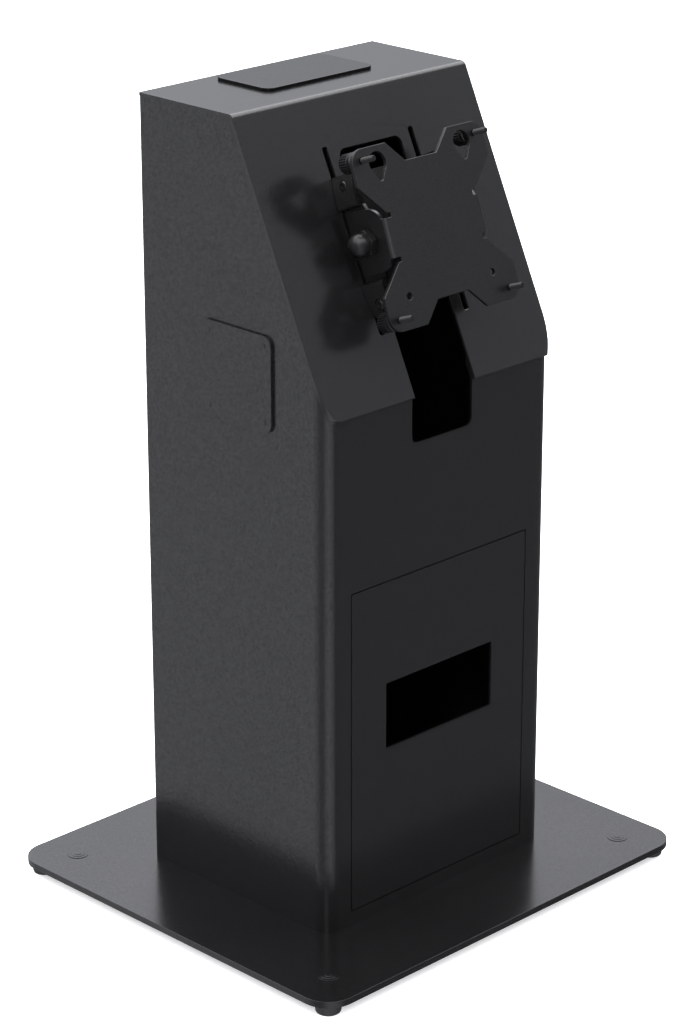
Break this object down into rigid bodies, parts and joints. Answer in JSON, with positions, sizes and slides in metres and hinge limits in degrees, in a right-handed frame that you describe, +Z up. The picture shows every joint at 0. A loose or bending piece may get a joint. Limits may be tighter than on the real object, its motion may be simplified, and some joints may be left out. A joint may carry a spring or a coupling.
{
  "type": "tablet kiosk stand",
  "caption": "Free-standing folded-steel tablet kiosk stand with a tilting screen mount, a printer door with a paper slot and a locked rear door.",
  "frame": {"origin": "on the floor, under the middle of the base plate", "axes": "+Z up, +Y to the back where the locked door is, +X to the right seen from the front; the screen mount looks towards -Y and up"},
  "size_m": [0.34, 0.303, 0.545],
  "materials": {
    "base_paint": "fine-textured black powder coat, semi-matt",
    "body_paint": "fine-textured black powder coat, semi-matt",
    "bracket_paint": "black powder coat, satin",
    "inner_paint": "black powder coat, matt",
    "zinc": "bright zinc plating",
    "black_zinc": "black plating, glossy",
    "lock_chrome": "satin chrome plating",
    "rubber": "matt black rubber",
    "plug_plastic": "moulded black nylon",
    "magnet": "sintered ferrite",
    "nylon": "natural nylon"
  },
  "bodies": {
    "stand": {"base_plate": "base_paint", "feet": "rubber", "foot_screws": "zinc", "hole_plugs": "plug_plastic", "housing": "body_paint", "housing_bolts": "zinc", "housing_nuts": "zinc", "cable_grommet": "rubber", "cover": "body_paint", "cover_nuts": "zinc", "side_plate": "body_paint", "side_plate_rivets": "black_zinc", "top_plate": "body_paint", "printer_tray": "inner_paint", "tray_screws": "zinc", "printer_door_tabs": "inner_paint", "printer_door_pins": "zinc", "catch_bracket": "inner_paint", "catch_magnet": "magnet", "rear_door_tabs": "inner_paint", "rear_door_pins": "zinc", "rear_door_stops": "inner_paint", "bracket_washers": "zinc", "bracket_nuts": "zinc"},
    "printer_door": {"printer_door": "body_paint"},
    "rear_door": {"rear_door": "body_paint", "lock_barrel": "lock_chrome", "lock_nut": "zinc"},
    "lock": {"lock_plug": "lock_chrome", "lock_cam": "zinc", "lock_screw": "zinc"},
    "bracket": {"mount_bracket": "bracket_paint", "guide_shoes": "plug_plastic", "stop_screws": "black_zinc", "friction_washers": "nylon", "pivot_bolts": "black_zinc", "pivot_nuts": "black_zinc"},
    "screen_plate": {"screen_plate": "bracket_paint"},
    "screw_upper_left": {"thumbscrew_upper_left": "black_zinc"},
    "screw_upper_right": {"thumbscrew_upper_right": "black_zinc"},
    "screw_lower_left": {"thumbscrew_lower_left": "black_zinc"},
    "screw_lower_right": {"thumbscrew_lower_right": "black_zinc"}
  },
  "joints": [
    {"name": "printer_door_hinge", "type": "hinge", "parent": "stand", "child": "printer_door", "pos_m": [-0.065, -0.0789, 0.13375], "axis": [0, 0, -1], "range_deg": [0, 110]},
    {"name": "rear_door_hinge", "type": "hinge", "parent": "stand", "child": "rear_door", "pos_m": [0.07071, 0.0789, 0.281], "axis": [0, 0, -1], "range_deg": [0, 110]},
    {"name": "lock_turn", "type": "hinge", "parent": "rear_door", "child": "lock", "pos_m": [-0.06271, 0.0755, 0.3025], "axis": [0, 1, 0], "range_deg": [0, 90]},
    {"name": "height_slide", "type": "slide", "parent": "stand", "child": "bracket", "axis": [0, 0.4226, 0.9063], "range_m": [-0.01, 0.0185]},
    {"name": "screen_tilt", "type": "hinge", "parent": "bracket", "child": "screen_plate", "pos_m": [0, -0.05932, 0.46137], "axis": [1, 0, 0], "range_deg": [-20.5, 9.5]},
    {"name": "screw_upper_left_turn", "type": "hinge", "parent": "screen_plate", "child": "screw_upper_left", "pos_m": [-0.05, -0.05866, 0.51417], "axis": [0, -0.9426, 0.3338], "continuous": true},
    {"name": "screw_lower_left_turn", "type": "hinge", "parent": "screen_plate", "child": "screw_lower_left", "pos_m": [-0.05, -0.09204, 0.41991], "axis": [0, -0.9426, 0.3338], "continuous": true},
    {"name": "screw_upper_right_turn", "type": "hinge", "parent": "screen_plate", "child": "screw_upper_right", "pos_m": [0.05, -0.05866, 0.51417], "axis": [0, -0.9426, 0.3338], "continuous": true},
    {"name": "screw_lower_right_turn", "type": "hinge", "parent": "screen_plate", "child": "screw_lower_right", "pos_m": [0.05, -0.09204, 0.41991], "axis": [0, -0.9426, 0.3338], "continuous": true}
  ]
}
